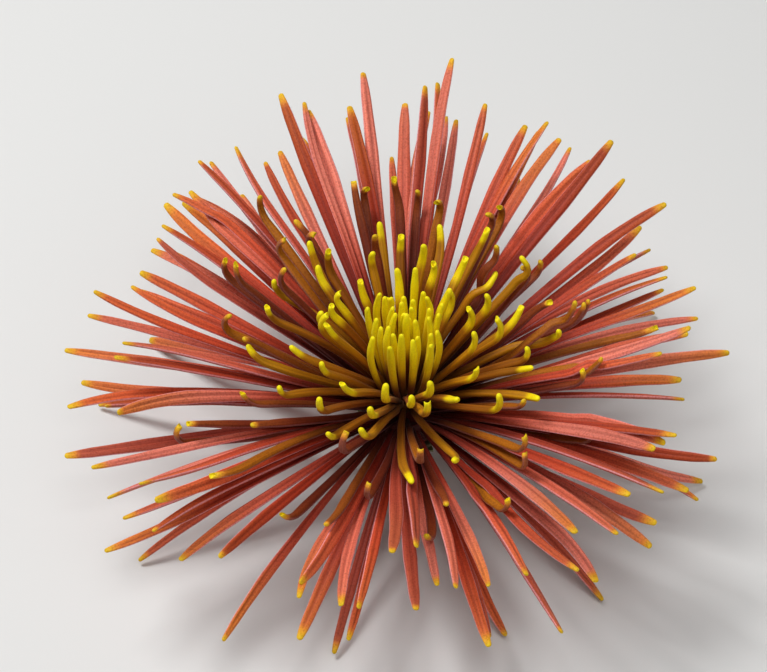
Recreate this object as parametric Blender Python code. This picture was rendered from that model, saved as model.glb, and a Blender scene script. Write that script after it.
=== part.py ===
"""A spider chrysanthemum bloom, cut close under its head and lying face up on its lowest rays.

Metres, +Z up along the bloom's axis. Every floret grows along a spine that leaves the receptacle in a
direction (azimuth and rise), arches or hooks on its way out, and is then combed clear of its neighbours.
"""

import math

import bmesh
import bpy
import numpy as np
from mathutils import Vector, kdtree

MM = 0.001
GOLDEN_ANGLE = math.radians(137.508)

# Driving dimensions, in metres
HEAD_HEIGHT = 17.0 * MM  # the point that the rays spread from, above the surface
HEART_HEIGHT = 20.0 * MM  # the point that the golden florets spread from
STEM_RADIUS = 2.6 * MM
STEM_TOP = 8.2 * MM
STEM_RIBS = 8
STEM_FURROW = 0.9  # radius in a furrow over the radius on a rib
RECEPTACLE_RADIUS = 8.4 * MM
GAP = 0.4 * MM  # between one colour of floret and the next
# Beads that fill the hollows which crossing rays would seal: their middles, in millimetres from the axis
BEADS = ((8.44, 5.36, 20.33),)
BEAD_RADIUS = 0.8 * MM
RAY_ROOT_RADIUS = 2.5 * MM  # how far from the axis the spines of the rays begin
HOOKED_ROOT_RADIUS = 1.6 * MM
TUFT_ROOT_RADIUS = 2.4 * MM
FOOT_CLEARANCE = 0.35 * MM  # height of a low ray's spine at its tip
FOOT_ARCH = math.radians(22)

# Stations along a spine, and how many of them carry a ring of the faceted solid
STATIONS = 32
RINGS = {
    "ray": (0, 8, 16, 24, 29, 32),
    "young": (0, 10, 20, 26, 29, 32),
    "hooked": (0, 10, 20, 26, 29, 32),
    "tuft": (0, 12, 23, 28, 32),
}

# The long rays stand in sprays with gaps between them. For each spray: its middle azimuth and half
# spread in degrees, its number of rays, their mean rise in degrees and their length in millimetres.
# Azimuth 0 is +X and 90 is +Y; the camera of the photograph looks from azimuth 270.
SPRAYS = (
    (2, 3, 2, 17, 63),
    (12, 3, 2, 18, 63),
    (25, 4, 3, 12, 60),
    (33, 3, 4, 14, 65),
    (49, 3, 3, 17, 69),
    (59, 3, 3, 18, 69),
    (66, 3, 3, 16, 66),
    (77, 4, 4, 18, 68),
    (84, 3, 4, 23, 73),
    (92, 2, 2, 16, 67),
    (99, 2, 3, 20, 70),
    (111, 4, 5, 19, 69),
    (125, 4, 5, 13, 66),
    (133, 4, 3, 16, 67),
    (142, 4, 5, 13, 67),
    (154, 2, 2, 13, 62),
    (168, 3, 3, 18, 63),
    (176, 3, 2, 17, 66),
    (188, 3, 4, 20, 64),
    (195, 3, 3, 14, 68),
    (213, 4, 4, 12, 68),
    (222, 4, 4, 15, 66),
    (237, 3, 2, 10, 68),
    (251, 3, 3, 9, 63),
    (260, 3, 3, 7, 61),
    (272, 5, 4, 18, 60),
    (284, 4, 4, 9, 63),
    (296, 4, 3, 9, 63),
    (307, 4, 3, 13, 64),
    (318, 4, 4, 16, 66),
    (331, 4, 6, 19, 66),
    (350, 3, 4, 23, 62),
)
SPRAY_RISE_SPREAD = 6.0  # degrees either side of a spray's mean rise

# The lowest rays come down to the surface and carry the bloom: azimuth in degrees, reach in millimetres
FEET = ((38, 66), (74, 60), (113, 60), (150, 62), (167, 64), (206, 58), (254, 50), (292, 48), (318, 52), (351, 60))

# Numbers of florets in the younger whorls, from the outside in
N_YOUNG = 44
N_HOOKED = 52
N_TUFT = 34

RED_KINDS = ("ray", "young")
COMB_ROUNDS = 30
PUSH = 0.4  # share of an overlap that one round of combing takes away
FIRST_FREE = 4  # the first station that combing moves
COMB_REACH = 3.4 * MM
CROWDED_RADIUS = 10 * MM  # from the point that the rays spread from
CROWDED_REACH = 2.0 * MM
SEED = 19
# Half-grown florets, by number, that stand aside from a golden one by so many degrees
STAND_ASIDE = {36: 6, 43: 6}

RAY_WIDTH = 2.75 * MM
RAY_THICKNESS = 1.2 * MM
YOUNG_WIDTH = 1.95 * MM
HOOKED_WIDTH = 1.85 * MM
TUFT_WIDTH = 1.6 * MM


# For each row of bracts: their number, then in millimetres their root's radius, its height over the head's
# point and their length, and last their tilt in degrees
BRACT_ROWS = ((13, 5.6, -6.6, 5.0, 38), (11, 4.4, -7.4, 4.4, 24), (8, 3.0, -8.2, 3.8, 10))
BRACT_THICKNESS = 0.7 * MM
BRACT_OUTLINE = ((-0.7, -0.15), (-1.25, 0.4), (-0.9, 0.75), (0, 1), (0.9, 0.75), (1.25, 0.4), (0.7, -0.15))


class Floret:
    """One floret: its spine as STATIONS + 1 points, and its width and thickness at each of them."""

    def __init__(self, kind, azimuth, rise, length, root, arch=0.0, sway=0.0, hook=0.0, veer=0.0,
                 hook_share=0.15, roll=0.0, girth=1.0):
        self.kind = kind
        self.azimuth = azimuth
        self.length = length
        self.roll = roll
        along = (np.arange(STATIONS) + 0.5) / STATIONS
        near_tip = np.clip((along - 1 + hook_share) / hook_share, 0, 1)
        lift = rise + arch * (0.5 - along) + hook * near_tip
        turn = azimuth + sway * (along - 0.5) + veer * near_tip
        steps = np.column_stack([np.cos(lift) * np.cos(turn), np.cos(lift) * np.sin(turn), np.sin(lift)])
        self.spine = np.vstack([root, root + np.cumsum(steps * length / STATIONS, axis=0)])
        width, self.thickness = profile(kind, np.arange(STATIONS + 1) / STATIONS)
        self.width = width * girth


def profile(kind, along):
    """Width and thickness along a floret: a narrow tube at its root, widest past its middle, blunt at its tip."""
    if kind == "ray":
        width = RAY_WIDTH * np.interp(along, (0, 0.25, 0.5, 0.75, 0.92, 1), (0.33, 0.48, 0.8, 1, 0.74, 0.32))
        thickness = RAY_THICKNESS * np.interp(along, (0, 0.5, 0.85, 1), (0.8, 1, 0.95, 0.55))
    elif kind == "young":
        width = YOUNG_WIDTH * np.interp(along, (0, 0.3, 0.8, 1), (0.45, 0.72, 1, 0.6))
        thickness = YOUNG_WIDTH * np.interp(along, (0, 0.3, 0.8, 1), (0.45, 0.6, 0.72, 0.5))
    elif kind == "hooked":
        width = HOOKED_WIDTH * np.interp(along, (0, 0.3, 0.8, 1), (0.5, 0.8, 1, 0.66))
        thickness = HOOKED_WIDTH * np.interp(along, (0, 0.3, 0.8, 1), (0.45, 0.68, 0.8, 0.58))
    else:
        width = TUFT_WIDTH * np.interp(along, (0, 0.5, 0.85, 1), (0.6, 0.9, 1, 0.6))
        thickness = 0.85 * width
    return width, thickness


def rays(draw):
    """The long rays, spray by spray, then the low ones that reach the surface."""
    made = []
    for azimuth, spread, count, rise, length in SPRAYS:
        for i in range(count):
            across = (i + 0.5) / count * 2 - 1
            layer = (-1) ** i * SPRAY_RISE_SPREAD
            made.append(ray(
                math.radians(azimuth + spread * across + draw.normal(0, 0.7)),
                math.radians(rise + layer + draw.normal(0, 1.5)),
                length * MM * draw.uniform(0.9, 1.03),
                draw,
            ))
    for azimuth, reach in FEET:
        drop = HEAD_HEIGHT - FOOT_CLEARANCE
        length = math.hypot(reach * MM, drop)
        made.append(ray(math.radians(azimuth), -math.asin(drop / length), length, draw, arch=FOOT_ARCH))
    return made


def ray(azimuth, rise, length, draw, arch=None):
    if arch is None:
        arch = math.radians(draw.uniform(2, 18))
    return Floret(
        "ray", azimuth, rise, length - RAY_ROOT_RADIUS, root_at(azimuth, RAY_ROOT_RADIUS, HEAD_HEIGHT), arch,
        sway=math.radians(draw.normal(0, 6)),
        veer=math.radians(draw.normal(0, 9)),
        hook_share=0.3,
        roll=math.radians(draw.normal(0, 30)),
        girth=draw.uniform(0.7, 1.1),
    )


def root_at(azimuth, radius, height):
    return np.array([radius * math.cos(azimuth), radius * math.sin(azimuth), height])


def young(draw):
    """Half-grown red florets of the whorl inside: slim tubes that stand more steeply and mostly hook over."""
    made = []
    for i in range(N_YOUNG):
        age = i / N_YOUNG
        azimuth = i * GOLDEN_ANGLE + math.radians(draw.normal(0, 5) + STAND_ASIDE.get(i, 0))
        rise = math.radians(20 + 24 * age + draw.normal(0, 3) + 8 * math.sin(azimuth))
        length = (47 - 13 * age + draw.normal(0, 3)) * MM
        made.append(Floret(
            "young", azimuth, rise, length, root_at(azimuth, RAY_ROOT_RADIUS, HEAD_HEIGHT),
            arch=math.radians(draw.uniform(-12, 14)),
            sway=math.radians(draw.normal(0, 9)),
            hook=math.radians(draw.choice((0, 55, 85, 120))),
            veer=math.radians(draw.normal(0, 30)),
            hook_share=draw.uniform(0.12, 0.18),
            roll=math.radians(draw.normal(0, 25)),
        ))
    return made


def hooked(draw):
    """The golden florets: slim tubes whose yellow tips hook upwards or aside."""
    made = []
    for i in range(N_HOOKED):
        age = i / N_HOOKED
        azimuth = i * GOLDEN_ANGLE + math.radians(draw.normal(0, 4))
        rise = math.radians(31 + 31 * age + draw.normal(0, 3) + 8 * math.sin(azimuth))
        length = (36 - 10 * age + draw.normal(0, 2)) * MM
        made.append(Floret(
            "hooked", azimuth, rise, length, root_at(azimuth, HOOKED_ROOT_RADIUS, HEART_HEIGHT),
            arch=math.radians(draw.uniform(0, 26)),
            sway=math.radians(draw.normal(0, 14)),
            hook=math.radians(draw.uniform(5, 95)),
            veer=math.radians(draw.normal(0, 25)),
            hook_share=draw.uniform(0.13, 0.24),
            roll=math.radians(draw.normal(0, 20)),
        ))
    return made


def tuft(draw):
    """The youngest florets: a tight bundle of blunt yellow tubes round the axis, bowed out and in again."""
    made = []
    for i in range(N_TUFT):
        share = math.sqrt((i + 0.5) / N_TUFT)
        azimuth = i * GOLDEN_ANGLE
        root = root_at(azimuth, TUFT_ROOT_RADIUS * share, HEART_HEIGHT)
        made.append(Floret(
            "tuft", azimuth, math.radians(90 - 15 * share + draw.normal(0, 2)),
            (25 - 1.5 * (1 - share) + draw.normal(0, 1.3)) * MM, root,
            arch=math.radians(draw.uniform(-34, -8) * share),
            sway=math.radians(draw.normal(0, 10)),
            hook=math.radians(draw.uniform(-8, 22)),
            hook_share=0.3,
        ))
    return made


def comb_apart(florets):
    """Bends the florets clear of each other: points of two spines that stand too close push apart, most at
    the tips, and every spine keeps its length. Near the head only the two colours are kept apart."""
    centre = Vector((0, 0, HEAD_HEIGHT))
    ease = np.clip(np.linspace(-0.1, 1.2, STATIONS + 1), 0, 1)[:, None]
    for _ in range(COMB_ROUNDS):
        tree = kdtree.KDTree(len(florets) * (STATIONS + 1))
        for f, floret in enumerate(florets):
            for k, point in enumerate(floret.spine):
                tree.insert(point, f * (STATIONS + 1) + k)
        tree.balance()
        for f, floret in enumerate(florets):
            push = np.zeros((STATIONS + 1, 3))
            for k in range(FIRST_FREE, STATIONS + 1):
                here = Vector(floret.spine[k])
                crowded = (here - centre).length < CROWDED_RADIUS
                for there, index, distance in tree.find_range(here, CROWDED_REACH if crowded else COMB_REACH):
                    g, j = divmod(index, STATIONS + 1)
                    same = (floret.kind in RED_KINDS) == (florets[g].kind in RED_KINDS)
                    if g == f or distance == 0 or (crowded and same):
                        continue
                    room = room_between(floret, k, florets[g], j, same)
                    if distance < room:
                        push[k] += np.array((here - there) * ((room - distance) / distance * PUSH))
            push[1:-1] = (push[:-2] + 2 * push[1:-1] + push[2:]) / 3
            floret.spine = keep_lengths(floret.spine, floret.spine + push * ease)
    return florets


def room_between(one, k, other, j, same_colour):
    """How far apart two spines have to stay: clear of each other's widest side where their colours differ."""
    widths = 0.5 * (one.width[k] + other.width[j])
    if same_colour:
        return 0.5 * widths + 0.25 * (one.thickness[k] + other.thickness[j])
    return widths + GAP


def keep_lengths(before, after):
    """The bent spine, with each of its steps as long as it was."""
    steps = np.diff(after, axis=0)
    rest = np.linalg.norm(np.diff(before, axis=0), axis=1)
    steps *= (rest / np.linalg.norm(steps, axis=1))[:, None]
    return np.vstack([after[0], after[0] + np.cumsum(steps, axis=0)])


def grow():
    draw = np.random.default_rng(SEED)
    red = rays(draw) + young(draw)
    gold = hooked(draw) + tuft(draw)
    comb_apart(red + gold)
    return red, gold


def rings_of(floret):
    """For each station: the spine's point, its side direction and its upper direction."""
    tangents = np.gradient(floret.spine, axis=0)
    tangents /= np.linalg.norm(tangents, axis=1)[:, None]
    level = np.array([-math.sin(floret.azimuth), math.cos(floret.azimuth), 0.0])
    side = level - (tangents @ level)[:, None] * tangents
    side /= np.linalg.norm(side, axis=1)[:, None]
    upper = np.cross(tangents, side)
    turn = floret.roll * np.linspace(0, 1, STATIONS + 1)[:, None]
    return side * np.cos(turn) + upper * np.sin(turn), upper * np.cos(turn) - side * np.sin(turn)


def floret_solid(floret, stations, name, collection):
    """A faceted floret: a four-sided ring at each of the stations, closed at both ends."""
    side, upper = rings_of(floret)
    mesh = bmesh.new()
    rings = []
    for k in stations:
        half_width = side[k] * floret.width[k] / 2
        half_thickness = upper[k] * floret.thickness[k] / 2
        corners = [floret.spine[k] + c for c in (half_width, half_thickness, -half_width, -half_thickness)]
        for corner in corners:
            corner[2] = max(corner[2], 0.0)
        rings.append([mesh.verts.new(corner) for corner in corners])
    for lower, higher in zip(rings, rings[1:]):
        for i in range(4):
            mesh.faces.new((lower[i - 1], lower[i], higher[i], higher[i - 1]))
    mesh.faces.new(rings[0])
    mesh.faces.new(rings[-1])
    bmesh.ops.recalc_face_normals(mesh, faces=mesh.faces)
    return to_object(mesh, name, collection)


def to_object(mesh, name, collection=None):
    data = bpy.data.meshes.new(name)
    mesh.to_mesh(data)
    mesh.free()
    made = bpy.data.objects.new(name, data)
    (collection or bpy.context.scene.collection).objects.link(made)
    return made


def turned(outline, sides, name):
    """A closed solid turned round the axis from an outline of (radius, height), bottom to top, in metres."""
    mesh = bmesh.new()
    rings = []
    for radius, height in outline:
        if radius == 0:
            rings.append([mesh.verts.new((0, 0, height))])
            continue
        angles = [2 * math.pi * i / sides for i in range(sides)]
        rings.append([mesh.verts.new((radius * math.cos(a), radius * math.sin(a), height)) for a in angles])
    for lower, higher in zip(rings, rings[1:]):
        for i in range(sides):
            if len(lower) == 1:
                mesh.faces.new((lower[0], higher[i], higher[i - 1]))
            elif len(higher) == 1:
                mesh.faces.new((lower[i - 1], lower[i], higher[0]))
            else:
                mesh.faces.new((lower[i - 1], lower[i], higher[i], higher[i - 1]))
    bmesh.ops.recalc_face_normals(mesh, faces=mesh.faces)
    return to_object(mesh, name)


def receptacle():
    """The cup-shaped base that the rays grow from."""
    h = HEAD_HEIGHT
    r = RECEPTACLE_RADIUS
    outline = (
        (0, h - 5.6 * MM), (0.45 * r, h - 5.2 * MM), (0.82 * r, h - 3.4 * MM), (r, h - 0.5 * MM),
        (0.97 * r, h + 2.2 * MM), (0.86 * r, h + 3.2 * MM), (0.62 * r, h + 1.6 * MM), (0, h + 1.2 * MM),
    )
    return turned(outline, 20, "red_rays")


def heart():
    """The small dome, seated in the receptacle, that the golden florets grow from."""
    h = HEAD_HEIGHT
    outline = (
        (0, h + 1.6 * MM), (2.8 * MM, h + 1.8 * MM), (3.2 * MM, h + 3.0 * MM), (4.4 * MM, h + 4.4 * MM),
        (4.2 * MM, h + 5.3 * MM), (2.4 * MM, h + 6.6 * MM), (0, h + 7.0 * MM),
    )
    return turned(outline, 16, "golden_florets")


def fuse(base, add_solids):
    """Joins to the base, in one Boolean union, every solid that add_solids puts in a collection."""
    loose = bpy.data.collections.new(base.name + "_loose")
    bpy.context.scene.collection.children.link(loose)
    add_solids(loose)
    union = base.modifiers.new("fused", "BOOLEAN")
    union.operand_type = "COLLECTION"
    union.collection = loose
    union.operation = "UNION"
    union.solver = "MANIFOLD"
    apply_modifiers(base)
    for made in list(loose.objects):
        bpy.data.objects.remove(made)
    bpy.data.collections.remove(loose)


def fuse_florets(base, florets, beads=()):
    def add_solids(loose):
        for i, floret in enumerate(florets):
            floret_solid(floret, RINGS[floret.kind], f"{base.name}_{i}", loose)
        for middle in beads:
            bead(middle, loose)

    fuse(base, add_solids)


def bead(middle, collection):
    mesh = bmesh.new()
    bmesh.ops.create_icosphere(mesh, subdivisions=1, radius=BEAD_RADIUS)
    bmesh.ops.translate(mesh, verts=mesh.verts, vec=Vector(middle) * MM)
    to_object(mesh, "bead", collection)


def apply_modifiers(obj):
    graph = bpy.context.evaluated_depsgraph_get()
    data = bpy.data.meshes.new_from_object(obj.evaluated_get(graph))
    obj.modifiers.clear()
    obj.data = data


def involucre():
    """Green bracts in overlapping rows under the head, fused on a shallow cup."""
    h = HEAD_HEIGHT
    cup = turned(
        ((0, STEM_TOP + GAP), (3.0 * MM, STEM_TOP + GAP), (5.4 * MM, h - 7.0 * MM), (8.0 * MM, h - 4.2 * MM),
         (7.2 * MM, h - 4.1 * MM), (4.2 * MM, h - 5.9 * MM), (0, h - 6.2 * MM)),
        18, "involucre",
    )

    def add_bracts(loose):
        for row, (count, radius, height, length, tilt) in enumerate(BRACT_ROWS):
            for i in range(count):
                angle = 2 * math.pi * (i + 0.5 * (row % 2)) / count
                bract(angle, radius * MM, h + height * MM, length * MM, math.radians(tilt), loose)

    fuse(cup, add_bracts)
    return cup


def bract(angle, radius, height, length, tilt, collection):
    """One pointed scale, leaning outwards."""
    out = Vector((math.cos(angle), math.sin(angle), 0))
    side = Vector((-math.sin(angle), math.cos(angle), 0))
    up = out * math.cos(tilt) + Vector((0, 0, math.sin(tilt)))
    skin = up.cross(side) * BRACT_THICKNESS / 2
    root = out * radius + Vector((0, 0, height))
    mesh = bmesh.new()
    layers = []
    for s in (-1, 1):
        layers.append([mesh.verts.new(root + side * x * MM + up * y * length + skin * s) for x, y in BRACT_OUTLINE])
    mesh.faces.new(layers[0])
    mesh.faces.new(layers[1])
    for i in range(len(BRACT_OUTLINE)):
        mesh.faces.new((layers[0][i - 1], layers[0][i], layers[1][i], layers[1][i - 1]))
    bmesh.ops.recalc_face_normals(mesh, faces=mesh.faces)
    return to_object(mesh, "bract", collection)


def stem():
    """The ribbed stub of stem left by the cut."""
    mesh = bmesh.new()
    rings = []
    for height, scale in ((0.0, 0.96), (STEM_TOP * 0.5, 0.94), (STEM_TOP, 1.08)):
        ring = []
        for i in range(2 * STEM_RIBS):
            angle = math.pi * i / STEM_RIBS
            radius = STEM_RADIUS * scale * (1.0 if i % 2 else STEM_FURROW)
            ring.append(mesh.verts.new((radius * math.cos(angle), radius * math.sin(angle), height)))
        rings.append(ring)
    for lower, higher in zip(rings, rings[1:]):
        for i in range(2 * STEM_RIBS):
            mesh.faces.new((lower[i - 1], lower[i], higher[i], higher[i - 1]))
    mesh.faces.new(rings[0])
    mesh.faces.new(rings[-1])
    bmesh.ops.recalc_face_normals(mesh, faces=mesh.faces)
    return to_object(mesh, "stem")


def coloured(obj, colour, roughness):
    material = bpy.data.materials.new(obj.name)
    material.use_nodes = True
    shader = material.node_tree.nodes["Principled BSDF"]
    shader.inputs["Base Color"].default_value = (*colour, 1)
    shader.inputs["Roughness"].default_value = roughness
    obj.data.materials.clear()
    obj.data.materials.append(material)


def centre_on_footprint(objects):
    """Moves the whole bloom so that the middle of its footprint is the origin."""
    corners = np.array([v.co for obj in objects for v in obj.data.vertices])
    middle = (corners.min(axis=0) + corners.max(axis=0)) / 2
    for obj in objects:
        obj.location = (-middle[0], -middle[1], 0)


def main():
    for obj in list(bpy.data.objects):
        bpy.data.objects.remove(obj)
    red, gold = grow()
    red_rays = receptacle()
    golden_florets = heart()
    fuse_florets(red_rays, red, BEADS)
    fuse_florets(golden_florets, gold)
    cup = involucre()
    stub = stem()
    coloured(red_rays, (0.56, 0.09, 0.04), 0.55)
    coloured(golden_florets, (0.62, 0.42, 0.02), 0.55)
    coloured(cup, (0.12, 0.22, 0.05), 0.6)
    coloured(stub, (0.16, 0.28, 0.07), 0.6)
    centre_on_footprint((red_rays, golden_florets, cup, stub))


main()
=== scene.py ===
"""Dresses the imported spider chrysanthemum: fine grooved florets, bracts and stem over the faceted solids.

The florets grow by the same rule, from the same seed, as in the part's own source, so each fine floret lies
where its solid does.
"""

import math

import bpy
import numpy as np
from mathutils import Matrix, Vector, kdtree


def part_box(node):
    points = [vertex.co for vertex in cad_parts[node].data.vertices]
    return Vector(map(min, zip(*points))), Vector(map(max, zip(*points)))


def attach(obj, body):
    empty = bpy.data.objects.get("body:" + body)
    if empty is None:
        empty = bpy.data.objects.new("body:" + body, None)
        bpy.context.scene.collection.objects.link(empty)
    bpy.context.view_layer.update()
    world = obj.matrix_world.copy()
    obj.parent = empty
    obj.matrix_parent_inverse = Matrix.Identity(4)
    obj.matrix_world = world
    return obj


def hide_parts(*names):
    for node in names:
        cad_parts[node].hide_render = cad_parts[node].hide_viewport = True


MM = 0.001
GOLDEN_ANGLE = math.radians(137.508)

# Driving dimensions, as in the part's source
HEAD_HEIGHT = 17.0 * MM
HEART_HEIGHT = 20.0 * MM
STEM_RADIUS = 2.6 * MM
STEM_TOP = 8.2 * MM
STEM_RIBS = 8
RECEPTACLE_RADIUS = 8.4 * MM
GAP = 0.4 * MM
RAY_ROOT_RADIUS = 2.5 * MM
HOOKED_ROOT_RADIUS = 1.6 * MM
TUFT_ROOT_RADIUS = 2.4 * MM
FOOT_CLEARANCE = 0.35 * MM
FOOT_ARCH = math.radians(22)
STATIONS = 32  # steps along each floret's spine

# Sprays of long rays: middle azimuth, half spread, number of rays, rise in degrees, length in millimetres.
# The azimuths, rises and lengths are grouped and rounded from a fit to ray tips marked on the photograph. The
# fit assumes a likely length and rise, because one picture can't give all three, so they aren't measurements.
SPRAYS = (
    (2, 3, 2, 17, 63),
    (12, 3, 2, 18, 63),
    (25, 4, 3, 12, 60),
    (33, 3, 4, 14, 65),
    (49, 3, 3, 17, 69),
    (59, 3, 3, 18, 69),
    (66, 3, 3, 16, 66),
    (77, 4, 4, 18, 68),
    (84, 3, 4, 23, 73),
    (92, 2, 2, 16, 67),
    (99, 2, 3, 20, 70),
    (111, 4, 5, 19, 69),
    (125, 4, 5, 13, 66),
    (133, 4, 3, 16, 67),
    (142, 4, 5, 13, 67),
    (154, 2, 2, 13, 62),
    (168, 3, 3, 18, 63),
    (176, 3, 2, 17, 66),
    (188, 3, 4, 20, 64),
    (195, 3, 3, 14, 68),
    (213, 4, 4, 12, 68),
    (222, 4, 4, 15, 66),
    (237, 3, 2, 10, 68),
    (251, 3, 3, 9, 63),
    (260, 3, 3, 7, 61),
    (272, 5, 4, 18, 60),
    (284, 4, 4, 9, 63),
    (296, 4, 3, 9, 63),
    (307, 4, 3, 13, 64),
    (318, 4, 4, 16, 66),
    (331, 4, 6, 19, 66),
    (350, 3, 4, 23, 62),
)
SPRAY_RISE_SPREAD = 6.0  # degrees by which the rays of a spray rise by turns above and below its own rise
# Low rays whose tips end about 1 mm above the surface: azimuth in degrees, reach in millimetres
FEET = (
    (38, 66), (74, 60), (113, 60), (150, 62), (167, 64),
    (206, 58), (254, 50), (292, 48), (318, 52), (351, 60),
)

N_YOUNG = 44
N_HOOKED = 52
N_TUFT = 34
RED_KINDS = ("ray", "young")
COMB_ROUNDS = 30
PUSH = 0.4  # share of an overlap that one round of combing takes away
FIRST_FREE = 4  # the first station that combing moves
COMB_REACH = 3.4 * MM
CROWDED_RADIUS = 10 * MM  # from the point that the rays spread from
CROWDED_REACH = 2.0 * MM
SEED = 19
# Half-grown florets, by number, that stand aside from a golden one by so many degrees
STAND_ASIDE = {36: 6, 43: 6}

RAY_WIDTH = 2.75 * MM
RAY_THICKNESS = 1.2 * MM
YOUNG_WIDTH = 1.95 * MM
HOOKED_WIDTH = 1.85 * MM
TUFT_WIDTH = 1.6 * MM

# Rows of bracts: number, then root radius, root height over the head's point and length in millimetres,
# and tilt in degrees
BRACT_ROWS = ((13, 5.6, -6.6, 5.0, 38), (11, 4.4, -7.4, 4.4, 24), (8, 3.0, -8.2, 3.8, 10))
BRACT_WIDTH = 2.5 * MM
BRACT_THICKNESS = 0.7 * MM
BRACT_RINGS = 18
BRACT_ROUND = 16
BRACT_SUNK = 0.15  # share of its length that a bract is sunk into its cup
BRACT_CUPPING = 0.08  # how far its edges stand out, as a share of its width

# Fineness of the dressed florets: points over a floret's upper face and under it, and rings along it
ROUND = {"ray": (11, 5), "young": (8, 6), "hooked": (9, 7), "tuft": (9, 7)}
ALONG = {"ray": 31, "young": 34, "hooked": 38, "tuft": 28}
RING_CROWDING = 0.8  # below 1, so the rings lie closer together towards the tip
CAP_RINGS = 5
CAP_LENGTH = 0.8  # as a share of the thickness at the tip
LONGEST_CAP = 0.06  # as a share of the floret's length
CAP_TURN = 0.96  # share of a quarter turn that the cap rounds over
BLUNTER_FROM = 0.88  # how far along a fine ray starts to be wider than its solid
BLUNTER_TIP = 1.3  # how much wider a fine ray's last point is than its solid's
# The rings that turn in at an open mouth: their width, how far along they lie, and how much they are inside
MOUTH_WIDTHS = (0.84, 0.76, 0.6, 0.25)
MOUTH_PLACES = (0.999, 0.996, 0.99, 0.987)
MOUTH_SHARES = (0.5, 1, 1, 1)
MOUTH_SLANT = (0.2, 0.9)  # how far a mouth is cut aslant, as a share of the width at the tip
SLANT_LENGTH = 0.14  # share of the floret's length that the slant draws back

# The furrow: its width and how far it lies off the middle, as shares of half the floret's width, its depth
# under the floret as a share of that on top, the shares of the length over which it fades in and out, and how
# much of it is left at the tip
FURROW_WIDTH = 0.24
FURROW_OFF_MIDDLE = 0.3
FURROW_UNDER = 0.3
FURROW_FADE_IN = 0.3
FURROW_FADE_OUT = 0.08
FURROW_AT_TIP = 0.1
# How deep the furrow is in each kind of floret, as a share of half its thickness
RAY_FURROW = (0.45, 0.85)
YOUNG_FURROW = 0.25
HOOKED_FURROW = 0.25
TUFT_FURROW = 0.15

# The round pieces: points round each, and rings for each point of its outline
TURNED_ROUND = {"receptacle": 64, "dome": 48, "cup": 64, "stem": 96}
TURNED_RINGS = 8
TURNED_SPAN = 0.2  # how far the value called along runs from one end of a round piece to the other
SMALLEST_RADIUS = 0.01 * MM
STEM_RIB_DEPTH = 0.08  # as a share of the stem's radius
STEM_ALONG = 0.3  # where that value starts on the stem

# The share of a floret's length that is golden: the shorter a hooked floret, the more of it is
RED_TIP = (0.025, 0.07)
TUFT_TIP = (0.5, 0.7)
HOOKED_LENGTHS = (25 * MM, 36 * MM)
HOOKED_TIP = (0.3, 0.08)
HOOKED_TIP_SPREAD = (0.7, 1.3)  # each hooked floret's own factor on it
# The share of florets that end in an open mouth
OPEN_YOUNG = 0.4
OPEN_HOOKED = 0.35
# How bronze the half-grown florets are; the rays are 0
YOUNG_BRONZE = (0.3, 1)

# The skins: the cells of the petals', then how deep each relief is and how far light scatters in each
CELLS_PER_METRE = 2600.0
PETAL_RELIEF = 0.18 * MM
BRACT_RELIEF = 0.15 * MM
STEM_RELIEF = 0.12 * MM
PETAL_SCATTER = 0.7 * MM
BRACT_SCATTER = 0.6 * MM
STEM_SCATTER = 0.8 * MM
MAP_MARGIN = 0.08  # free edge beside each tube on the flat map, as a share of its cell; half at the ends

# The studio: each light's name, place, power in watts and size, then the light from all round, and the floor
LIGHTS = (
    ("key_light", (-0.35, 0.2, 0.75), 5.5, 0.3),
    ("fill_light", (0.4, -0.6, 0.7), 1.5, 0.8),
    ("heart_light", (0.04, -0.3, 0.75), 1.5, 0.25),
)
AMBIENT_COLOUR = (1.0, 0.99, 0.97, 1)
AMBIENT_STRENGTH = 0.12
FLOOR_HALF_SIZE = 6.0
FLOOR_COLOUR = (0.72, 0.72, 0.71, 1)
FLOOR_ROUGHNESS = 0.9

# The photograph's view: the camera looks down by this much, from the -Y side
VIEW_ELEVATION = math.radians(48)
VIEW_DISTANCE = 0.62  # in metres
METRES_PER_PIXEL = 0.196 * MM
IMAGE_WIDTH = 767  # in pixels
HEAD_BELOW_MIDDLE = 72  # pixels that the rays' meeting point lies below the picture's middle
HEAD_RIGHT_OF_MIDDLE = 21.5
SENSOR_WIDTH = 36.0  # in millimetres
NEAREST_SEEN = 0.01  # in metres


class Floret:
    """One floret: its spine as STATIONS + 1 points, and its width and thickness at each of them."""

    def __init__(self, kind, azimuth, rise, length, root, arch=0.0, sway=0.0, hook=0.0, veer=0.0,
                 hook_share=0.15, roll=0.0, girth=1.0):
        self.kind = kind
        self.azimuth = azimuth
        self.length = length
        self.roll = roll
        along = (np.arange(STATIONS) + 0.5) / STATIONS
        near_tip = np.clip((along - 1 + hook_share) / hook_share, 0, 1)
        lift = rise + arch * (0.5 - along) + hook * near_tip
        turn = azimuth + sway * (along - 0.5) + veer * near_tip
        steps = np.column_stack([np.cos(lift) * np.cos(turn), np.cos(lift) * np.sin(turn), np.sin(lift)])
        self.spine = np.vstack([root, root + np.cumsum(steps * length / STATIONS, axis=0)])
        width, self.thickness = profile(kind, np.arange(STATIONS + 1) / STATIONS)
        self.width = width * girth


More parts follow.
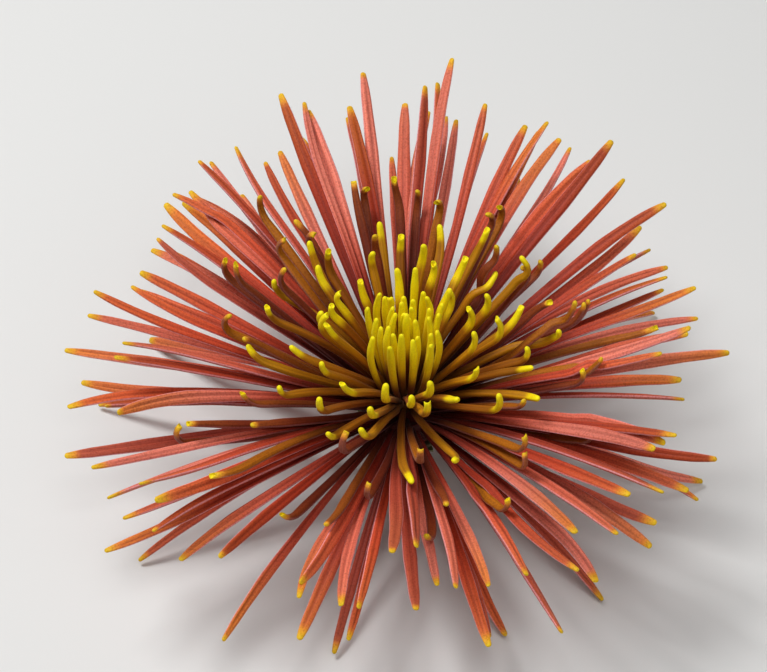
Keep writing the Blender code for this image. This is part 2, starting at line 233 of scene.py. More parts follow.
def profile(kind, along):
    """Width and thickness along a floret: narrow at its root, widest past its middle, blunt at its tip."""
    if kind == "ray":
        width = RAY_WIDTH * np.interp(along, (0, 0.25, 0.5, 0.75, 0.92, 1), (0.33, 0.48, 0.8, 1, 0.74, 0.32))
        thickness = RAY_THICKNESS * np.interp(along, (0, 0.5, 0.85, 1), (0.8, 1, 0.95, 0.55))
    elif kind == "young":
        width = YOUNG_WIDTH * np.interp(along, (0, 0.3, 0.8, 1), (0.45, 0.72, 1, 0.6))
        thickness = YOUNG_WIDTH * np.interp(along, (0, 0.3, 0.8, 1), (0.45, 0.6, 0.72, 0.5))
    elif kind == "hooked":
        width = HOOKED_WIDTH * np.interp(along, (0, 0.3, 0.8, 1), (0.5, 0.8, 1, 0.66))
        thickness = HOOKED_WIDTH * np.interp(along, (0, 0.3, 0.8, 1), (0.45, 0.68, 0.8, 0.58))
    else:
        width = TUFT_WIDTH * np.interp(along, (0, 0.5, 0.85, 1), (0.6, 0.9, 1, 0.6))
        thickness = 0.85 * width
    return width, thickness


def rays(draw):
    """The long rays, spray by spray, then the low ones that come down almost to the surface."""
    made = []
    for azimuth, spread, count, rise, length in SPRAYS:
        for i in range(count):
            across = (i + 0.5) / count * 2 - 1
            layer = (-1) ** i * SPRAY_RISE_SPREAD
            made.append(ray(
                math.radians(azimuth + spread * across + draw.normal(0, 0.7)),
                math.radians(rise + layer + draw.normal(0, 1.5)),
                length * MM * draw.uniform(0.9, 1.03),
                draw,
            ))
    for azimuth, reach in FEET:
        drop = HEAD_HEIGHT - FOOT_CLEARANCE
        length = math.hypot(reach * MM, drop)
        made.append(ray(math.radians(azimuth), -math.asin(drop / length), length, draw, arch=FOOT_ARCH))
    return made


def ray(azimuth, rise, length, draw, arch=None):
    """One long ray, with its own arch where none is given, sway, turned tip, roll and girth."""
    if arch is None:
        arch = math.radians(draw.uniform(2, 18))
    return Floret(
        "ray", azimuth, rise, length - RAY_ROOT_RADIUS, root_at(azimuth, RAY_ROOT_RADIUS, HEAD_HEIGHT), arch,
        sway=math.radians(draw.normal(0, 6)),
        veer=math.radians(draw.normal(0, 9)),
        hook_share=0.3,
        roll=math.radians(draw.normal(0, 30)),
        girth=draw.uniform(0.7, 1.1),
    )


def root_at(azimuth, radius, height):
    return np.array([radius * math.cos(azimuth), radius * math.sin(azimuth), height])


def young(draw):
    """Half-grown red florets of the whorl inside: slim tubes that stand more steeply and mostly hook over."""
    made = []
    for i in range(N_YOUNG):
        age = i / N_YOUNG
        azimuth = i * GOLDEN_ANGLE + math.radians(draw.normal(0, 5) + STAND_ASIDE.get(i, 0))
        rise = math.radians(20 + 24 * age + draw.normal(0, 3) + 8 * math.sin(azimuth))
        length = (47 - 13 * age + draw.normal(0, 3)) * MM
        made.append(Floret(
            "young", azimuth, rise, length, root_at(azimuth, RAY_ROOT_RADIUS, HEAD_HEIGHT),
            arch=math.radians(draw.uniform(-12, 14)),
            sway=math.radians(draw.normal(0, 9)),
            hook=math.radians(draw.choice((0, 55, 85, 120))),
            veer=math.radians(draw.normal(0, 30)),
            hook_share=draw.uniform(0.12, 0.18),
            roll=math.radians(draw.normal(0, 25)),
        ))
    return made


def hooked(draw):
    """The golden florets: slim tubes whose yellow tips hook upwards or aside."""
    made = []
    for i in range(N_HOOKED):
        age = i / N_HOOKED
        azimuth = i * GOLDEN_ANGLE + math.radians(draw.normal(0, 4))
        rise = math.radians(31 + 31 * age + draw.normal(0, 3) + 8 * math.sin(azimuth))
        length = (36 - 10 * age + draw.normal(0, 2)) * MM
        made.append(Floret(
            "hooked", azimuth, rise, length, root_at(azimuth, HOOKED_ROOT_RADIUS, HEART_HEIGHT),
            arch=math.radians(draw.uniform(0, 26)),
            sway=math.radians(draw.normal(0, 14)),
            hook=math.radians(draw.uniform(5, 95)),
            veer=math.radians(draw.normal(0, 25)),
            hook_share=draw.uniform(0.13, 0.24),
            roll=math.radians(draw.normal(0, 20)),
        ))
    return made


def tuft(draw):
    """The youngest florets: a tight bundle of blunt yellow tubes round the axis, bowed out and in again."""
    made = []
    for i in range(N_TUFT):
        share = math.sqrt((i + 0.5) / N_TUFT)
        azimuth = i * GOLDEN_ANGLE
        root = root_at(azimuth, TUFT_ROOT_RADIUS * share, HEART_HEIGHT)
        made.append(Floret(
            "tuft", azimuth, math.radians(90 - 15 * share + draw.normal(0, 2)),
            (25 - 1.5 * (1 - share) + draw.normal(0, 1.3)) * MM, root,
            arch=math.radians(draw.uniform(-34, -8) * share),
            sway=math.radians(draw.normal(0, 10)),
            hook=math.radians(draw.uniform(-8, 22)),
            hook_share=0.3,
        ))
    return made


def comb_apart(florets):
    """Bends the florets away from each other, though some of one colour still cross.

    Points of two spines that stand too close push apart, most at the tips, and every spine keeps its length.
    Near the head only the two colours are kept apart.
    """
    centre = Vector((0, 0, HEAD_HEIGHT))
    ease = np.clip(np.linspace(-0.1, 1.2, STATIONS + 1), 0, 1)[:, None]
    for _ in range(COMB_ROUNDS):
        tree = kdtree.KDTree(len(florets) * (STATIONS + 1))
        for f, floret in enumerate(florets):
            for k, point in enumerate(floret.spine):
                tree.insert(point, f * (STATIONS + 1) + k)
        tree.balance()
        for f, floret in enumerate(florets):
            push = np.zeros((STATIONS + 1, 3))
            for k in range(FIRST_FREE, STATIONS + 1):
                here = Vector(floret.spine[k])
                crowded = (here - centre).length < CROWDED_RADIUS
                for there, index, distance in tree.find_range(here, CROWDED_REACH if crowded else COMB_REACH):
                    g, j = divmod(index, STATIONS + 1)
                    same = (floret.kind in RED_KINDS) == (florets[g].kind in RED_KINDS)
                    if g == f or distance == 0 or (crowded and same):
                        continue
                    room = room_between(floret, k, florets[g], j, same)
                    if distance < room:
                        push[k] += np.array((here - there) * ((room - distance) / distance * PUSH))
            push[1:-1] = (push[:-2] + 2 * push[1:-1] + push[2:]) / 3
            floret.spine = keep_lengths(floret.spine, floret.spine + push * ease)
    return florets


def room_between(one, k, other, j, same_colour):
    """How far apart two spines have to stay: clear of each other's widest side where their colours differ."""
    widths = 0.5 * (one.width[k] + other.width[j])
    if same_colour:
        return 0.5 * widths + 0.25 * (one.thickness[k] + other.thickness[j])
    return widths + GAP


def keep_lengths(before, after):
    """The bent spine, with each of its steps as long as it was."""
    steps = np.diff(after, axis=0)
    rest = np.linalg.norm(np.diff(before, axis=0), axis=1)
    steps *= (rest / np.linalg.norm(steps, axis=1))[:, None]
    return np.vstack([after[0], after[0] + np.cumsum(steps, axis=0)])


def grow():
    """All red and all golden florets, combed apart."""
    draw = np.random.default_rng(SEED)
    red = rays(draw) + young(draw)
    gold = hooked(draw) + tuft(draw)
    comb_apart(red + gold)
    return red, gold


class Skin:
    """Gathers tubes into one mesh.

    Each point keeps what the materials read: how far it lies along its floret, across it (-1 to 1), towards
    its upper face (-1 to 1), into its golden tip and down its furrow, its floret's own shade, 1 inside an
    open mouth, and how bronze its floret is.
    """

    VALUES = ("along", "across", "upper", "tip", "groove", "shade", "mouth", "bronze")

    def __init__(self, cells):
        self.points = []
        self.faces = []
        self.uvs = []
        self.values = {name: [] for name in self.VALUES}
        self.columns = math.ceil(math.sqrt(cells) * 2)
        self.rows = math.ceil(cells / self.columns)
        self.cell = 0

    def add_tube(self, rings, values):
        """Adds a tube closed at both ends.

        Its rings are an array of rings, points round each, and x, y, z. Its values map a name to an array or
        to a number.
        """
        count, around = rings.shape[:2]
        first = len(self.points)
        self.points.extend(rings.reshape(-1, 3))
        ends = (first, first + (count - 1) * around)
        self.points.append(rings[0].mean(axis=0))
        self.points.append(rings[-1].mean(axis=0))
        root = first + count * around
        tip = root + 1
        for name in self.VALUES:
            grid = np.broadcast_to(np.asarray(values.get(name, 0.0), dtype=float), (count, around))
            self.values[name].extend(grid.reshape(-1))
            self.values[name].extend((grid[0].mean(), grid[-1].mean()))
        for k in range(count - 1):
            low = first + k * around
            for a in range(around):
                b = (a + 1) % around
                self.faces.append((low + a, low + b, low + around + b, low + around + a))
                self.uvs.extend((
                    self.spot(a, k, around, count), self.spot(a + 1, k, around, count),
                    self.spot(a + 1, k + 1, around, count), self.spot(a, k + 1, around, count),
                ))
        for a in range(around):
            b = (a + 1) % around
            self.faces.append((ends[0] + b, ends[0] + a, root))
            self.uvs.extend((
                self.spot(a + 1, 0, around, count), self.spot(a, 0, around, count),
                self.spot(a + 0.5, -0.5, around, count),
            ))
            self.faces.append((ends[1] + a, ends[1] + b, tip))
            self.uvs.extend((
                self.spot(a, count - 1, around, count), self.spot(a + 1, count - 1, around, count),
                self.spot(a + 0.5, count - 0.5, around, count),
            ))
        self.cell += 1

    def spot(self, a, k, around, count):
        """Where a point of the current tube lies on the flat map: each tube has its own cell."""
        row, column = divmod(self.cell, self.columns)
        u = MAP_MARGIN + (1 - 2 * MAP_MARGIN) * a / around
        v = MAP_MARGIN / 2 + (1 - MAP_MARGIN) * (k + 0.5) / count
        return (column + u) / self.columns, (row + v) / self.rows

    def to_object(self, name, offset):
        """The mesh as an object, moved by offset, with no point below the surface."""
        mesh = bpy.data.meshes.new(name)
        points = np.array(self.points) + offset
        points[:, 2] = np.maximum(points[:, 2], 0)
        mesh.from_pydata(points.tolist(), [], self.faces)
        for value, numbers in self.values.items():
            mesh.attributes.new(value, "FLOAT", "POINT").data.foreach_set("value", np.array(numbers))
        flat = mesh.uv_layers.new(name="OFBake")
        flat.uv.foreach_set("vector", np.array(self.uvs).reshape(-1))
        mesh.shade_smooth()
        mesh.update()
        made = bpy.data.objects.new(name, mesh)
        bpy.context.scene.collection.objects.link(made)
        return made


def frames_of(floret):
    """For each station: the spine's side direction and its upper direction."""
    tangents = np.gradient(floret.spine, axis=0)
    tangents /= np.linalg.norm(tangents, axis=1)[:, None]
    level = np.array([-math.sin(floret.azimuth), math.cos(floret.azimuth), 0.0])
    side = level - (tangents @ level)[:, None] * tangents
    side /= np.linalg.norm(side, axis=1)[:, None]
    upper = np.cross(tangents, side)
    turn = floret.roll * np.linspace(0, 1, STATIONS + 1)[:, None]
    return side * np.cos(turn) + upper * np.sin(turn), upper * np.cos(turn) - side * np.sin(turn)


def smooth_at(values, along):
    """Reads rows of values, one for each station, at any places along by a smooth curve through them."""
    place = np.clip(along, 0, 1) * (len(values) - 1)
    left = np.minimum(place.astype(int), len(values) - 2)
    t = (place - left)[:, None]
    slope = np.gradient(values, axis=0)
    a, b, m, n = values[left], values[left + 1], slope[left], slope[left + 1]
    return (
        (2 * t**3 - 3 * t**2 + 1) * a + (t**3 - 2 * t**2 + t) * m
        + (3 * t**2 - 2 * t**3) * b + (t**3 - t**2) * n
    )


def angles_round(kind):
    """The places of the points round a floret: more of them on its upper face than under it."""
    over, under = ROUND[kind]
    return np.concatenate([np.arange(over) / over * math.pi, math.pi + np.arange(under) / under * math.pi])


def floret_tube(skin, floret, draw, tip_share, open_mouth=False, furrow=0.0, bronze=0.0):
    """A fine floret: a soft tube with a furrow down its upper face, ending in a rounded tip or a mouth."""
    along = np.linspace(0, 1, ALONG[floret.kind]) ** RING_CROWDING
    if open_mouth:
        scale = np.concatenate([np.ones(len(along)), MOUTH_WIDTHS])
        mouth = np.concatenate([np.zeros(len(along)), MOUTH_SHARES])
        along = np.concatenate([along, MOUTH_PLACES])
    else:
        cap = min(CAP_LENGTH * floret.thickness[-1] / floret.length, LONGEST_CAP)
        bend = np.linspace(0, 1, CAP_RINGS + 1)[1:] * math.pi / 2 * CAP_TURN
        along = along[along < 1 - cap]
        scale = np.concatenate([np.ones(len(along)), np.cos(bend)])
        along = np.concatenate([along, 1 - cap + cap * np.sin(bend)])
        mouth = np.zeros(len(along))
    sides, uppers = frames_of(floret)
    middle = smooth_at(floret.spine, along)
    side = smooth_at(sides, along)
    upper = smooth_at(uppers, along)
    stations = np.linspace(0, 1, STATIONS + 1)
    width = np.interp(along, stations, floret.width) * scale
    if floret.kind == "ray":
        width *= np.interp(along, (BLUNTER_FROM, 1), (1, BLUNTER_TIP))
    thickness = np.interp(along, stations, floret.thickness) * scale
    angles = angles_round(floret.kind)
    across, height = np.cos(angles), np.sin(angles)
    off_middle = draw.uniform(-FURROW_OFF_MIDDLE, FURROW_OFF_MIDDLE)
    groove = np.exp(-((across - off_middle) / FURROW_WIDTH) ** 2) * np.where(height > 0, 1, FURROW_UNDER)
    depth = np.clip(along / FURROW_FADE_IN, 0, 1) * np.clip((1 - along) / FURROW_FADE_OUT, FURROW_AT_TIP, 1)
    groove = groove[None, :] * depth[:, None]
    lift = height[None, :] * (1 - furrow * groove)
    rings = (
        middle[:, None, :]
        + side[:, None, :] * (across[None, :] * width[:, None] / 2)[:, :, None]
        + upper[:, None, :] * (lift * thickness[:, None] / 2)[:, :, None]
    )
    if open_mouth:
        slant = floret.width[-1] * draw.uniform(*MOUTH_SLANT)
        near_tip = np.clip((along - (1 - SLANT_LENGTH)) / SLANT_LENGTH, 0, 1)
        back = near_tip[:, None] * np.clip(height, 0, 1)[None, :] * slant
        rings -= np.cross(side, upper)[:, None, :] * back[:, :, None]
    skin.add_tube(rings, {
        "along": along[:, None],
        "across": across[None, :],
        "upper": height[None, :],
        "tip": np.clip((along - (1 - tip_share)) / tip_share, 0, 1)[:, None],
        "groove": groove,
        "shade": draw.uniform(0, 1),
        "mouth": mouth[:, None],
        "bronze": bronze,
    })


def lathe(skin, outline, around, ribs=0, rib_depth=0.0, along=0.0):
    """A closed body turned round the axis from (radius, height) pairs, smoothed, with optional ribs."""
    outline = np.array(outline)
    steps = np.concatenate([[0], np.cumsum(np.linalg.norm(np.diff(outline, axis=0), axis=1))])
    place = np.linspace(0, 1, TURNED_RINGS * len(outline))
    radius = np.maximum(np.interp(place, steps / steps[-1], outline[:, 0]), SMALLEST_RADIUS)
    height = np.interp(place, steps / steps[-1], outline[:, 1])
    angles = np.arange(around) / around * 2 * math.pi
    rib = 1 - rib_depth * (0.5 + 0.5 * np.cos(ribs * angles))
    rings = np.stack([
        radius[:, None] * np.cos(angles) * rib,
        radius[:, None] * np.sin(angles) * rib,
        np.broadcast_to(height[:, None], (len(height), around)),
    ], axis=2)
    skin.add_tube(rings, {
        "along": along + place[:, None] * TURNED_SPAN,
        "across": np.cos(ribs * angles)[None, :],
        "upper": (radius / radius.max())[:, None],
    })


class Graph:
    """Short names for the few kinds of shader node used here. Any input may be a number or a socket."""

    def __init__(self, tree):
        self.tree = tree

    def feed(self, socket, value):
        if isinstance(value, bpy.types.NodeSocket):
            self.tree.links.new(value, socket)
        else:
            socket.default_value = value

    def value(self, name):
        node = self.tree.nodes.new("ShaderNodeAttribute")
        node.attribute_name = name
        return node.outputs["Fac"]

    def math(self, operation, *inputs):
        node = self.tree.nodes.new("ShaderNodeMath")
        node.operation = operation
        for socket, value in zip(node.inputs, inputs):
            self.feed(socket, value)
        return node.outputs[0]

    def ramp(self, at, *stops):
        node = self.tree.nodes.new("ShaderNodeValToRGB")
        self.feed(node.inputs[0], at)
        stop_list = node.color_ramp.elements
        while len(stop_list) < len(stops):
            stop_list.new(0.5)
        for stop, (place, colour) in zip(stop_list, stops):
            stop.position = place
            stop.color = (*colour, 1)
        return node.outputs[0]

    def mix(self, share, one, other, blend="MIX"):
        node = self.tree.nodes.new("ShaderNodeMix")
        node.data_type = "RGBA"
        node.blend_type = blend
        self.feed(node.inputs[0], share)
        for socket, colour in zip(node.inputs[6:8], (one, other)):
            self.feed(socket, colour if isinstance(colour, bpy.types.NodeSocket) else (*colour, 1))
        return node.outputs[2]

    def smooth(self, value, low, high):
        node = self.tree.nodes.new("ShaderNodeMapRange")
        node.interpolation_type = "SMOOTHSTEP"
        self.feed(node.inputs[0], value)
        self.feed(node.inputs[1], low)
        self.feed(node.inputs[2], high)
        return node.outputs[0]

    def noise(self, at, scale, detail=2.0):
        node = self.tree.nodes.new("ShaderNodeTexNoise")
        node.inputs["Scale"].default_value = scale
        node.inputs["Detail"].default_value = detail
        self.feed(node.inputs["Vector"], at)
        return node.outputs[0]

    def vector(self, x, y, z):
        node = self.tree.nodes.new("ShaderNodeCombineXYZ")
        for socket, value in zip(node.inputs, (x, y, z)):
            self.feed(socket, value)
        return node.outputs[0]

    def place(self):
        return self.tree.nodes.new("ShaderNodeTexCoord").outputs["Object"]

    def bump(self, height, strength, distance):
        node = self.tree.nodes.new("ShaderNodeBump")
        node.inputs["Strength"].default_value = strength
        node.inputs["Distance"].default_value = distance
        self.feed(node.inputs["Height"], height)
        return node.outputs[0]


def streaks(g, lines):
    """Uneven streaks that run along a floret, from 0 to 1."""
    place = g.vector(
        g.math("MULTIPLY", g.value("across"), lines), g.math("MULTIPLY", g.value("along"), 1.6),
        g.math("ADD", g.math("MULTIPLY", g.value("shade"), 9.0), g.math("MULTIPLY", g.value("upper"), 0.6)),
    )
    return g.smooth(g.noise(place, 1.0, 3.0), 0.3, 0.7)


def petal_surface(g, shader, colour, ridges, speckle):
    """What every petal shares: soft scattered light, a faint sheen, and ridges and cells in its skin."""
    cells = g.noise(g.place(), CELLS_PER_METRE, 1.0)
    height = g.math("ADD", g.math("MULTIPLY", ridges, 0.7), g.math("MULTIPLY", cells, 0.35))
    spots = g.math("MULTIPLY", g.smooth(cells, 0.4, 0.8), speckle)
    speckled = g.mix(spots, colour, g.mix(1.0, colour, (0.68, 0.6, 0.55), "MULTIPLY"))
    g.feed(shader.inputs["Base Color"], speckled)
    g.feed(shader.inputs["Roughness"], g.math("ADD", 0.42, g.math("MULTIPLY", cells, 0.25)))
    g.feed(shader.inputs["Normal"], g.bump(height, 0.35, PETAL_RELIEF))
    shader.inputs["Subsurface Weight"].default_value = 0.1
    shader.inputs["Subsurface Radius"].default_value = (1.0, 0.3, 0.12)
    shader.inputs["Subsurface Scale"].default_value = PETAL_SCATTER
    shader.inputs["Sheen Weight"].default_value = 0.03
    shader.inputs["Sheen Roughness"].default_value = 0.4
    shader.inputs["Specular IOR Level"].default_value = 0.2


def red_petal(g, shader):
    """Coral red, maroon at the root, with a small golden tip. Painted shade darkens the very root, the furrow
    and the low lines between the streaks, and painted sheen makes thin pink rims.

    The bronze florets go from maroon to ochre instead.
    """
    along, shade, tip = g.value("along"), g.value("shade"), g.value("tip")
    ridges = streaks(g, 4.4)
    valleys = g.math("SUBTRACT", 1.0, ridges)
    # Maroon towards the root, and near black at the very root as painted shade where the florets crowd
    # together
    body = g.ramp(
        along, (0.0, (0.02, 0.002, 0.002)), (0.15, (0.08, 0.006, 0.004)), (0.33, (0.27, 0.021, 0.008)),
        (0.5, (0.52, 0.052, 0.016)), (0.68, (0.74, 0.096, 0.034)), (1.0, (0.85, 0.19, 0.052)),
    )
    pale = g.math("MULTIPLY", g.smooth(shade, 0.55, 0.9), g.smooth(along, 0.35, 0.7))
    salmon = g.mix(pale, body, (0.93, 0.26, 0.18))
    deep = g.mix(1.0, body, (0.48, 0.34, 0.3), "MULTIPLY")
    brick = g.mix(g.math("MULTIPLY", g.smooth(shade, 0.5, 0.1), 0.85), salmon, deep)
    often = g.smooth(g.math("SINE", g.math("MULTIPLY", shade, 40.0)), 0.1, 0.9)
    dusty = g.mix(g.math("MULTIPLY", often, g.math("MULTIPLY", along, 0.5)), brick, (0.6, 0.15, 0.1))
    seldom = g.smooth(g.math("SINE", g.math("MULTIPLY", shade, 97.0)), 0.4, 0.95)
    orange = g.mix(g.math("MULTIPLY", seldom, g.smooth(along, 0.6, 1.1)), dusty, (0.86, 0.26, 0.03))
    # Partly vein colour, partly painted shade: darker along the low lines of the relief
    veins_and_shade = g.mix(g.math("MULTIPLY", valleys, 0.36), orange, (0.24, 0.018, 0.008))
    # Painted shade: darker down the furrow
    furrow_shaded = g.mix(g.math("MULTIPLY", g.value("groove"), 0.45), veins_and_shade, (0.15, 0.01, 0.006))
    below = g.math("MULTIPLY", g.smooth(g.value("upper"), 0.1, -0.5), g.smooth(along, 0.1, 0.5))
    under = g.mix(g.math("MULTIPLY", below, 0.65), furrow_shaded, (0.6, 0.2, 0.16))
    # Painted sheen: a thin pale pink line along each side of the floret, where light catches its edges
    rim_sheen = g.math("MULTIPLY", g.smooth(g.math("ABSOLUTE", g.value("across")), 0.87, 1.0), 0.75)
    edged = g.mix(g.math("MULTIPLY", rim_sheen, g.smooth(along, 0.25, 0.6)), under, (0.9, 0.4, 0.43))
    # The half-grown florets' tubes: also near black at the root as painted shade
    tube = g.ramp(
        along, (0.0, (0.02, 0.003, 0.002)), (0.35, (0.07, 0.008, 0.003)), (0.75, (0.19, 0.026, 0.007)),
        (1.0, (0.34, 0.075, 0.012)),
    )
    golden = g.mix(g.smooth(along, 0.2, 0.8), tube, (0.48, 0.15, 0.004))
    ochre = g.mix(g.smooth(g.value("bronze"), 0.65, 1.0), tube, golden)
    mauve = g.mix(g.math("MULTIPLY", below, 0.45), ochre, (0.36, 0.12, 0.1))
    # Painted sheen along the rims of the bronze florets as well
    bronze_rim_sheen = g.mix(g.math("MULTIPLY", rim_sheen, 0.6), mauve, (0.5, 0.2, 0.21))
    # Partly vein colour, partly painted shade: the bronze florets darken along the relief's low lines too
    bronze = g.mix(g.math("MULTIPLY", valleys, 0.3), bronze_rim_sheen, (0.08, 0.01, 0.004))
    skin = g.mix(g.smooth(g.value("bronze"), 0.05, 0.2), edged, bronze)
    ends = g.ramp(tip, (0.0, (0.8, 0.2, 0.035)), (0.6, (0.78, 0.36, 0.02)), (1.0, (0.8, 0.55, 0.012)))
    colour = g.mix(g.smooth(tip, 0.0, 0.6), skin, ends)
    colour = g.mix(g.value("mouth"), colour, (0.95, 0.78, 0.006))
    petal_surface(g, shader, colour, ridges, 0.9)


def golden_petal(g, shader):
    """Brown at the root through gold to a bright yellow tip; some florets are rustier than others."""
    along, shade, tip = g.value("along"), g.value("shade"), g.value("tip")
    ridges = streaks(g, 2.6)
    body = g.ramp(
        along, (0.0, (0.05, 0.014, 0.002)), (0.3, (0.21, 0.066, 0.002)), (0.6, (0.46, 0.17, 0.002)),
        (1.0, (0.68, 0.32, 0.003)),
    )
    rusty = g.mix(g.smooth(shade, 0.45, 0.9), body, g.mix(0.7, body, (0.24, 0.045, 0.005)))
    # Partly vein colour, partly painted shade: darker along the low lines of the relief
    streaks_and_shade = g.mix(g.math("MULTIPLY", g.math("SUBTRACT", 1.0, ridges), 0.4), rusty, (0.14, 0.04, 0.002))
    # Painted shade: darker down the furrow
    furrow_shaded = g.mix(g.math("MULTIPLY", g.value("groove"), 0.3), streaks_and_shade, (0.1, 0.03, 0.002))
    yellow = g.ramp(tip, (0.0, (0.7, 0.38, 0.003)), (0.4, (0.92, 0.68, 0.003)), (1.0, (0.99, 0.86, 0.006)))
    colour = g.mix(g.smooth(tip, 0.0, 0.4), furrow_shaded, yellow)
    colour = g.mix(g.value("mouth"), colour, (0.96, 0.8, 0.005))
    petal_surface(g, shader, colour, ridges, 0.3)


def green_bract(g, shader):
    """Dark green at the root, paler towards the tip, with thin dry edges."""
    ridges = streaks(g, 4.0)
    body = g.ramp(
        g.value("along"), (0.0, (0.03, 0.06, 0.012)), (0.6, (0.11, 0.2, 0.05)), (1.0, (0.2, 0.26, 0.09)),
    )
    edged = g.mix(g.smooth(g.math("ABSOLUTE", g.value("across")), 0.75, 0.98), body, (0.3, 0.26, 0.14))
    g.feed(shader.inputs["Base Color"], g.mix(g.math("MULTIPLY", ridges, 0.3), edged, (0.06, 0.12, 0.03)))
    g.feed(shader.inputs["Roughness"], g.math("ADD", 0.48, g.math("MULTIPLY", ridges, 0.12)))
    g.feed(shader.inputs["Normal"], g.bump(ridges, 0.4, BRACT_RELIEF))
    shader.inputs["Subsurface Weight"].default_value = 0.08
    shader.inputs["Subsurface Scale"].default_value = BRACT_SCATTER


def green_stem(g, shader):
    """Green with long fibres round the outside, and pale pith in the middle of the cut."""
    fibres = g.noise(g.vector(g.math("MULTIPLY", g.value("across"), 4.0), g.value("along"), 0.0), 9.0, 3.0)
    skin = g.ramp(fibres, (0.3, (0.08, 0.15, 0.035)), (0.7, (0.17, 0.27, 0.07)))
    pith = g.mix(g.smooth(g.value("upper"), 0.5, 0.8), (0.62, 0.66, 0.4), skin)
    g.feed(shader.inputs["Base Color"], pith)
    g.feed(shader.inputs["Roughness"], g.math("ADD", 0.45, g.math("MULTIPLY", fibres, 0.2)))
    g.feed(shader.inputs["Normal"], g.bump(fibres, 0.3, STEM_RELIEF))
    shader.inputs["Subsurface Weight"].default_value = 0.08
    shader.inputs["Subsurface Scale"].default_value = STEM_SCATTER


def finish_piece(made, surface, node):
    """Gives a piece its material, hangs it under the root body, and hides the solid that it replaces."""
    dress = bpy.data.materials.new(surface.__name__)
    dress.use_nodes = True
    surface(Graph(dress.node_tree), dress.node_tree.nodes["Principled BSDF"])
    made.data.materials.append(dress)
    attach(made, "root")
    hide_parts(node)


def make_rays(red, offset):
    """The red rays and the cup that they grow from."""
    draw = np.random.default_rng(SEED + 1)
    skin = Skin(len(red) + 1)
    for floret in red:
        tip_share = draw.uniform(*RED_TIP)
        if floret.kind == "ray":
            floret_tube(skin, floret, draw, tip_share, furrow=draw.uniform(*RAY_FURROW))
        else:
            open_mouth = draw.uniform() < OPEN_YOUNG
            bronze = draw.uniform(*YOUNG_BRONZE)
            floret_tube(skin, floret, draw, tip_share, open_mouth, YOUNG_FURROW, bronze)
    h, r = HEAD_HEIGHT, RECEPTACLE_RADIUS
    lathe(skin, (
        (0, h - 5.6 * MM), (0.45 * r, h - 5.2 * MM), (0.82 * r, h - 3.4 * MM), (r, h - 0.5 * MM),
        (0.97 * r, h + 2.2 * MM), (0.86 * r, h + 3.2 * MM), (0.62 * r, h + 1.6 * MM), (0, h + 1.2 * MM),
    ), TURNED_ROUND["receptacle"])
    made = skin.to_object("fine_red_rays", offset)
    finish_piece(made, red_petal, "red_rays")


def make_golden(gold, offset):
    """The hooked golden florets, the yellow tuft and the dome that they grow from."""
    draw = np.random.default_rng(SEED + 2)
    skin = Skin(len(gold) + 1)
    for floret in gold:
        if floret.kind == "tuft":
            floret_tube(skin, floret, draw, draw.uniform(*TUFT_TIP), furrow=TUFT_FURROW)
        else:
            spread = draw.uniform(*HOOKED_TIP_SPREAD)
            tip_share = np.interp(floret.length, HOOKED_LENGTHS, HOOKED_TIP) * spread
            floret_tube(skin, floret, draw, tip_share, draw.uniform() < OPEN_HOOKED, HOOKED_FURROW)
    h = HEAD_HEIGHT
    lathe(skin, (
        (0, h + 1.6 * MM), (2.8 * MM, h + 1.8 * MM), (3.2 * MM, h + 3.0 * MM), (4.4 * MM, h + 4.4 * MM),
        (4.2 * MM, h + 5.3 * MM), (2.4 * MM, h + 6.6 * MM), (0, h + 7.0 * MM),
    ), TURNED_ROUND["dome"])
    made = skin.to_object("fine_golden_florets", offset)
    finish_piece(made, golden_petal, "golden_florets")


def make_involucre(offset):
    """Overlapping green bracts on their cup."""
    draw = np.random.default_rng(SEED + 3)
    h = HEAD_HEIGHT
    skin = Skin(sum(row[0] for row in BRACT_ROWS) + 1)
    for row, (count, radius, height, length, tilt) in enumerate(BRACT_ROWS):
        for i in range(count):
            angle = 2 * math.pi * (i + 0.5 * (row % 2)) / count
            bract(skin, angle, radius * MM, h + height * MM, length * MM, math.radians(tilt), draw)
    lathe(skin, (
        (0, STEM_TOP + GAP), (3.0 * MM, STEM_TOP + GAP), (5.4 * MM, h - 7.0 * MM), (8.0 * MM, h - 4.2 * MM),
        (7.2 * MM, h - 4.1 * MM), (4.2 * MM, h - 5.9 * MM), (0, h - 6.2 * MM),
    ), TURNED_ROUND["cup"])
    made = skin.to_object("fine_involucre", offset)
    finish_piece(made, green_bract, "involucre")


def bract(skin, angle, radius, height, length, tilt, draw):
    """One pointed scale with a rounded back, leaning outwards and curling in a little at its tip."""
    along = np.linspace(0, 1, BRACT_RINGS)
    out = np.array([math.cos(angle), math.sin(angle), 0.0])
    side = np.array([-math.sin(angle), math.cos(angle), 0.0])
    up = out * math.cos(tilt) + np.array([0, 0, math.sin(tilt)])
    back = np.cross(up, side)
    width = BRACT_WIDTH * np.interp(along, (0, 0.35, 0.6, 0.85, 1), (0.56, 1, 0.9, 0.45, 0.06))
    thickness = BRACT_THICKNESS * np.interp(along, (0, 0.7, 1), (1, 0.8, 0.3))
    past_cup = (along * (1 + BRACT_SUNK) - BRACT_SUNK) * length
    middle = out * radius + np.array([0, 0, height]) + up * past_cup[:, None]
    angles = np.arange(BRACT_ROUND) / BRACT_ROUND * 2 * math.pi
    across, lift = np.cos(angles), np.sin(angles)
    cupped = lift[None, :] * thickness[:, None] / 2 + across[None, :] ** 2 * width[:, None] * BRACT_CUPPING
    rings = (
        middle[:, None, :]
        + side * (across[None, :] * width[:, None] / 2)[:, :, None]
        + back * cupped[:, :, None]
    )
    skin.add_tube(rings, {
        "along": along[:, None],
        "across": across[None, :],
        "upper": lift[None, :],
        "shade": draw.uniform(0, 1),
    })


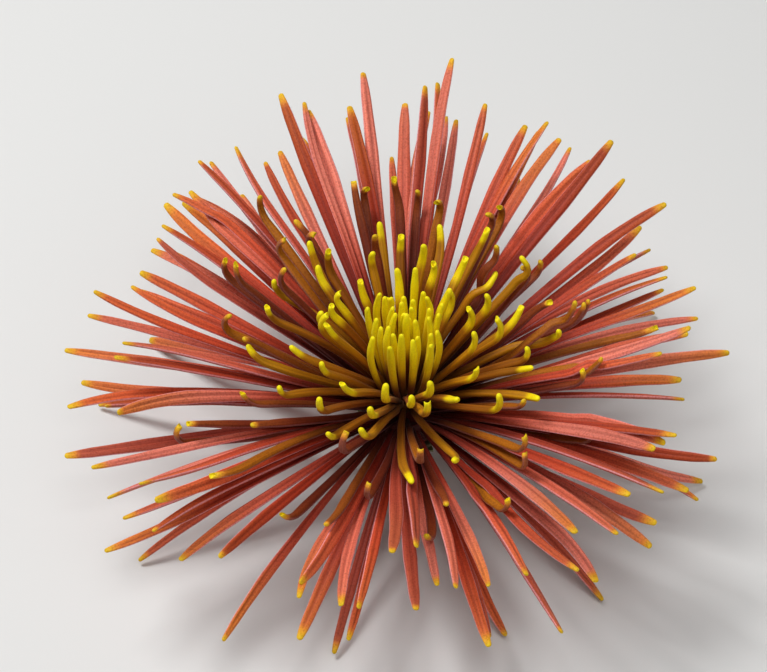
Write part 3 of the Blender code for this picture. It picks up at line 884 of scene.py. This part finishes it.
def make_stem(offset):
    """The ribbed stub, with pale pith on its cut face."""
    skin = Skin(1)
    r = STEM_RADIUS
    lathe(skin, (
        (0, 0), (0.94 * r, 0), (0.96 * r, 0.2 * MM), (0.94 * r, 0.5 * STEM_TOP),
        (1.06 * r, STEM_TOP), (0, STEM_TOP),
    ), TURNED_ROUND["stem"], STEM_RIBS, STEM_RIB_DEPTH, STEM_ALONG)
    made = skin.to_object("fine_stem", offset)
    finish_piece(made, green_stem, "stem")


def make_floor():
    """A wide pale surface under the bloom."""
    half = FLOOR_HALF_SIZE
    corners = [(-half, -half, 0), (half, -half, 0), (half, half, 0), (-half, half, 0)]
    mesh = bpy.data.meshes.new("floor")
    mesh.from_pydata(corners, [], [(0, 1, 2, 3)])
    floor = bpy.data.objects.new("floor", mesh)
    bpy.context.scene.collection.objects.link(floor)
    plain = bpy.data.materials.new("floor")
    plain.use_nodes = True
    shader = plain.node_tree.nodes["Principled BSDF"]
    shader.inputs["Base Color"].default_value = FLOOR_COLOUR
    shader.inputs["Roughness"].default_value = FLOOR_ROUGHNESS
    mesh.materials.append(plain)


def make_light(name, place, power, size, target):
    """A square light that faces the target."""
    lamp = bpy.data.lights.new(name, "AREA")
    lamp.energy = power
    lamp.size = size
    made = bpy.data.objects.new(name, lamp)
    made.location = place
    made.rotation_mode = "QUATERNION"
    made.rotation_quaternion = (target - Vector(place)).to_track_quat("-Z", "Y")
    bpy.context.scene.collection.objects.link(made)


def make_studio(head):
    """Soft lights on the bloom, with a faint light from all round."""
    for name, place, power, size in LIGHTS:
        make_light(name, place, power, size, head)
    world = bpy.data.worlds.new("studio")
    world.use_nodes = True
    background = world.node_tree.nodes["Background"]
    background.inputs["Color"].default_value = AMBIENT_COLOUR
    background.inputs["Strength"].default_value = AMBIENT_STRENGTH
    bpy.context.scene.world = world
    bpy.context.scene.view_settings.view_transform = "Standard"


def make_camera(head):
    """The photograph's view: down on the bloom, with its middle a little low and right of the picture's."""
    back = Vector((0, -math.cos(VIEW_ELEVATION), math.sin(VIEW_ELEVATION)))
    right = Vector((1, 0, 0))
    up = back.cross(right)
    target = head + (up * HEAD_BELOW_MIDDLE - right * HEAD_RIGHT_OF_MIDDLE) * METRES_PER_PIXEL
    data = bpy.data.cameras.new("camera")
    data.sensor_width = SENSOR_WIDTH
    data.lens = SENSOR_WIDTH * VIEW_DISTANCE / (IMAGE_WIDTH * METRES_PER_PIXEL)
    data.clip_start = NEAREST_SEEN
    camera = bpy.data.objects.new("camera", data)
    camera.location = target + back * VIEW_DISTANCE
    camera.rotation_mode = "QUATERNION"
    camera.rotation_quaternion = (-back).to_track_quat("-Z", "Y")
    bpy.context.scene.collection.objects.link(camera)
    bpy.context.scene.camera = camera


def axis_offset():
    """Where the bloom's axis stands in the frame: in the middle of the round stem."""
    low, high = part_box("stem")
    return np.array([(low[0] + high[0]) / 2, (low[1] + high[1]) / 2, 0.0])


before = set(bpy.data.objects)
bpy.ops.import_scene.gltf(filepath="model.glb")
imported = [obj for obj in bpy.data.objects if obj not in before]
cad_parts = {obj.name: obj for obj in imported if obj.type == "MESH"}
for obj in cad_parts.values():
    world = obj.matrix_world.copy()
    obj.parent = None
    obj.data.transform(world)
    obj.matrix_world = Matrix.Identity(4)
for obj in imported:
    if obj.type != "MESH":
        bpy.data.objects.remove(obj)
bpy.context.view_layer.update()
offset = axis_offset()
head = Vector(offset) + Vector((0, 0, HEAD_HEIGHT))
red, gold = grow()
make_rays(red, offset)
make_golden(gold, offset)
make_involucre(offset)
make_stem(offset)
make_floor()
make_studio(head)
make_camera(head)
